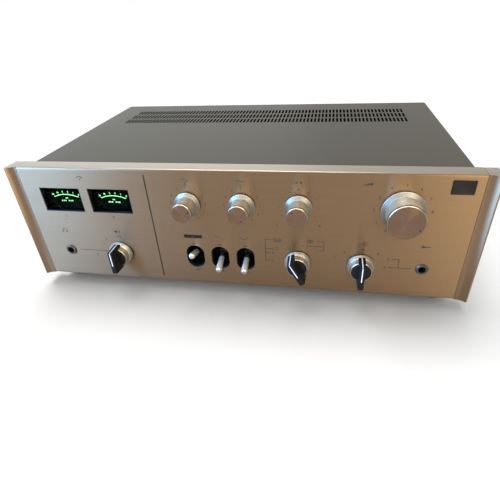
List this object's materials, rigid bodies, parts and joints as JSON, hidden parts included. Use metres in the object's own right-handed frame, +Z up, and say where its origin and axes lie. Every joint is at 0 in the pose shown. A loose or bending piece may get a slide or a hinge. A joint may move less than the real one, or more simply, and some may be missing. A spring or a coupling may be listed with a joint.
{
  "type": "stereo amplifier",
  "caption": "Low, wide stereo amplifier with a brushed aluminium front, turned knobs, pointer switches, lever switches and two lit level meters.",
  "frame": {"origin": "on the floor under the middle of the whole amplifier", "axes": "+X to the right as seen from the front, +Y to the back, +Z up"},
  "size_m": [0.41, 0.2644, 0.128],
  "materials": {
    "panel_aluminium": "brushed along its length, champagne anodised",
    "cap_aluminium": "satin anodised",
    "knob_aluminium": "turned, with bright cut edges",
    "cover_paint": "satin warm grey paint on folded steel",
    "zinc_steel": "zinc plated sheet",
    "screw_steel": "plated",
    "black_plastic": "moulded, satin",
    "chrome": "polished",
    "rubber": "matt",
    "lens": "clear acrylic",
    "scale": "dark film with a lit green print",
    "lamp": "clear glass",
    "needle": "black paint on aluminium",
    "plaque": "dark bronze, bare",
    "board": "phenolic board",
    "heat_sink": "black anodised",
    "core": "varnished laminations",
    "coil": "copper winding under tape",
    "capacitor": "sleeved can",
    "brass": "bare",
    "magnet": "sintered",
    "phenolic": "phenolic"
  },
  "bodies": {
    "chassis": {"fascia": "panel_aluminium", "left_end_cap": "cap_aluminium", "right_end_cap": "cap_aluminium", "panel_screws": "screw_steel", "top_cover": "cover_paint", "case_screws": "screw_steel", "chassis_pan": "zinc_steel", "subpanel": "zinc_steel", "rear_panel": "cover_paint", "feet": "rubber", "badge": "plaque", "phones_jack": "black_plastic", "aux_jack": "black_plastic", "jack_nuts": "chrome", "lever_cups": "black_plastic", "lever_switches": "phenolic", "lever_pins": "chrome", "control_pots": "zinc_steel", "rotary_switches": "phenolic", "control_nuts": "screw_steel", "meter_cases": "black_plastic", "meter_lenses": "lens", "meter_scales": "scale", "meter_magnets": "magnet", "meter_lamps": "lamp", "tone_board": "board", "main_board": "board", "board_standoffs": "phenolic", "heat_sink": "heat_sink", "output_transistors": "zinc_steel", "filter_capacitors": "capacitor", "transformer_core": "core", "transformer_coil": "coil", "phono_sockets": "brass", "speaker_terminals": "black_plastic", "terminal_screws": "brass", "ground_terminal": "screw_steel", "cord_gland": "black_plastic"},
    "volume": {"volume_knob": "knob_aluminium", "volume_shaft": "screw_steel"},
    "bass": {"bass_knob": "knob_aluminium", "bass_shaft": "screw_steel"},
    "treble": {"treble_knob": "knob_aluminium", "treble_shaft": "screw_steel"},
    "balance": {"balance_knob": "knob_aluminium", "balance_shaft": "screw_steel"},
    "speaker": {"speaker_skirt": "knob_aluminium", "speaker_pointer": "black_plastic", "speaker_shaft": "screw_steel"},
    "mode": {"mode_skirt": "knob_aluminium", "mode_pointer": "black_plastic", "mode_shaft": "screw_steel"},
    "source": {"source_skirt": "knob_aluminium", "source_pointer": "black_plastic", "source_shaft": "screw_steel"},
    "power": {"power_lever": "chrome"},
    "filter": {"filter_lever": "chrome"},
    "loudness": {"loudness_lever": "chrome"},
    "left_needle": {"left_needle": "needle"},
    "right_needle": {"right_needle": "needle"}
  },
  "joints": [
    {"name": "volume_turn", "type": "hinge", "parent": "chassis", "child": "volume", "pos_m": [0.14, -0.11175, 0.097], "axis": [0, 1, 0], "range_deg": [-270, 30]},
    {"name": "bass_turn", "type": "hinge", "parent": "chassis", "child": "bass", "pos_m": [-0.0372, -0.11175, 0.097], "axis": [0, 1, 0], "range_deg": [-230, 70]},
    {"name": "treble_turn", "type": "hinge", "parent": "chassis", "child": "treble", "pos_m": [0.0105, -0.11175, 0.097], "axis": [0, 1, 0], "range_deg": [-300, 0]},
    {"name": "balance_turn", "type": "hinge", "parent": "chassis", "child": "balance", "pos_m": [0.0582, -0.11175, 0.097], "axis": [0, 1, 0], "range_deg": [-110, 190]},
    {"name": "speaker_turn", "type": "hinge", "parent": "chassis", "child": "speaker", "pos_m": [-0.1127, -0.11175, 0.0422], "axis": [0, 1, 0], "range_deg": [-120, 0]},
    {"name": "mode_turn", "type": "hinge", "parent": "chassis", "child": "mode", "pos_m": [0.0582, -0.11175, 0.0422], "axis": [0, 1, 0], "range_deg": [-60, 60]},
    {"name": "source_turn", "type": "hinge", "parent": "chassis", "child": "source", "pos_m": [0.1128, -0.11175, 0.0422], "axis": [0, 1, 0], "range_deg": [-60, 90]},
    {"name": "power_tip", "type": "hinge", "parent": "chassis", "child": "power", "pos_m": [-0.0372, -0.09775, 0.0422], "axis": [1, 0, 0], "range_deg": [0, 32]},
    {"name": "filter_tip", "type": "hinge", "parent": "chassis", "child": "filter", "pos_m": [-0.01335, -0.09775, 0.0422], "axis": [1, 0, 0], "range_deg": [-32, 0]},
    {"name": "loudness_tip", "type": "hinge", "parent": "chassis", "child": "loudness", "pos_m": [0.0105, -0.09775, 0.0422], "axis": [1, 0, 0], "range_deg": [-32, 0]},
    {"name": "left_needle_swing", "type": "hinge", "parent": "chassis", "child": "left_needle", "pos_m": [-0.1584, -0.10575, 0.069], "axis": [0, 1, 0], "range_deg": [0, 58], "stiffness_Nm_per_rad": 0.0003, "springref_deg": -5.73},
    {"name": "right_needle_swing", "type": "hinge", "parent": "chassis", "child": "right_needle", "pos_m": [-0.1106, -0.10575, 0.069], "axis": [0, 1, 0], "range_deg": [0, 58], "stiffness_Nm_per_rad": 0.0003, "springref_deg": -5.73}
  ]
}
